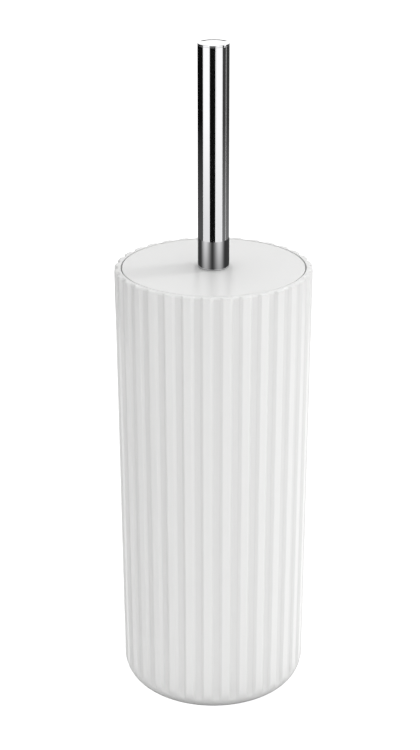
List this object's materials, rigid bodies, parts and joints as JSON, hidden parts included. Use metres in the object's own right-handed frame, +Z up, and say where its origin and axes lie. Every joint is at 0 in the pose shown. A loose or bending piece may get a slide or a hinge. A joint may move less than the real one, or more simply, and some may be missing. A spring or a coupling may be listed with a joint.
{
  "type": "toilet brush holder",
  "caption": "Ribbed tapered holder with a lift-out inner cup, a flush round lid and a brush on a tubular chrome handle with a screw-on head.",
  "frame": {"origin": "centre of the base pad's underside, on the floor", "axes": "+Z up, along the handle; the holder is round about Z"},
  "size_m": [0.0998, 0.0998, 0.3475],
  "materials": {
    "shell_plastic": "satin white",
    "lid_plastic": "satin white",
    "cup_plastic": "satin off-white",
    "pad_rubber": "soft grey",
    "handle_chrome": "polished",
    "stem_steel": "brushed",
    "plain_steel": "zinc plated",
    "dark_plastic": "moulded",
    "hub_plastic": "moulded white",
    "bristle_nylon": "white nylon bristle"
  },
  "bodies": {
    "holder": {"outer_shell": "shell_plastic", "base_pad": "pad_rubber"},
    "inner_cup": {"inner_cup": "cup_plastic"},
    "lid": {"lid": "lid_plastic"},
    "brush": {"lid_washer": "plain_steel", "handle_tube": "handle_chrome", "handle_end_cap": "handle_chrome", "handle_insert": "dark_plastic", "joining_stud": "plain_steel", "stem_tube": "stem_steel", "stem_top_plug": "dark_plastic", "stem_bottom_plug": "hub_plastic"},
    "brush_head": {"brush_hub": "hub_plastic", "side_bristles": "bristle_nylon", "end_bristles": "bristle_nylon"}
  },
  "joints": [
    {"name": "cup_lift", "type": "slide", "parent": "holder", "child": "inner_cup", "axis": [0, 0, 1], "range_m": [0, 0.24]},
    {"name": "brush_lift", "type": "slide", "parent": "inner_cup", "child": "lid", "axis": [0, 0, 1], "range_m": [0, 0.23]},
    {"name": "handle_turn", "type": "hinge", "parent": "lid", "child": "brush", "pos_m": [0, 0, 0.234], "axis": [0, 0, 1], "continuous": true},
    {"name": "head_unscrew", "type": "hinge", "parent": "brush", "child": "brush_head", "pos_m": [0, 0, 0.11], "axis": [0, 0, -1], "range_deg": [0, 1080]}
  ]
}
